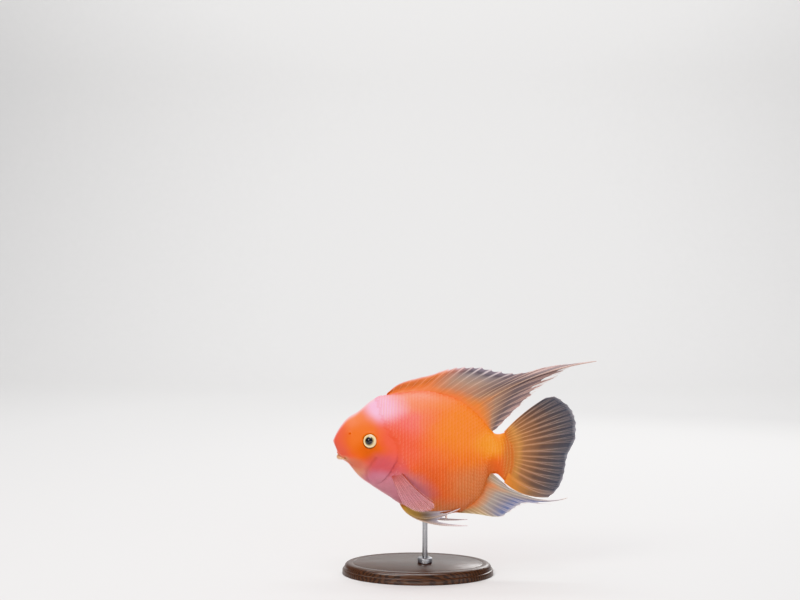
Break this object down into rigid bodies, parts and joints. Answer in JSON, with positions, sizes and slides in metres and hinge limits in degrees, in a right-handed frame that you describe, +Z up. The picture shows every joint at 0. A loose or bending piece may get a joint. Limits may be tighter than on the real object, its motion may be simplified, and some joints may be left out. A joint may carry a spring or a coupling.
{
  "type": "blood parrot cichlid model",
  "caption": "Still, life-size model of an orange blood parrot cichlid with long trailing fins, held level on one rod above a flat oval base.",
  "frame": {"origin": "centre of the model's bounding box in x and y, on the underside of the stand's base", "axes": "-X the way the fish faces, -Y towards its left side, +Z up"},
  "size_m": [0.2158, 0.08, 0.1746],
  "materials": {
    "flesh": "satin",
    "gill_cover": "satin",
    "lip": "satin",
    "eye": "polished",
    "fin": "satin",
    "clear_fin": "satin",
    "base_wood": "satin",
    "rod_steel": "satin"
  },
  "bodies": {
    "root": {"head": "flesh", "lower_jaw": "lip", "trunk": "flesh", "tail_stalk": "flesh", "gill_cover_left": "gill_cover", "gill_cover_right": "gill_cover", "eye_left": "eye", "eye_right": "eye", "dorsal_fin": "fin", "anal_fin": "clear_fin", "caudal_fin": "clear_fin", "pectoral_fin_left": "clear_fin", "pectoral_fin_right": "clear_fin", "pelvic_fin_left": "fin", "pelvic_fin_right": "fin", "stand_base": "base_wood", "stand_collar": "rod_steel", "stand_rod": "rod_steel"}
  },
  "joints": []
}
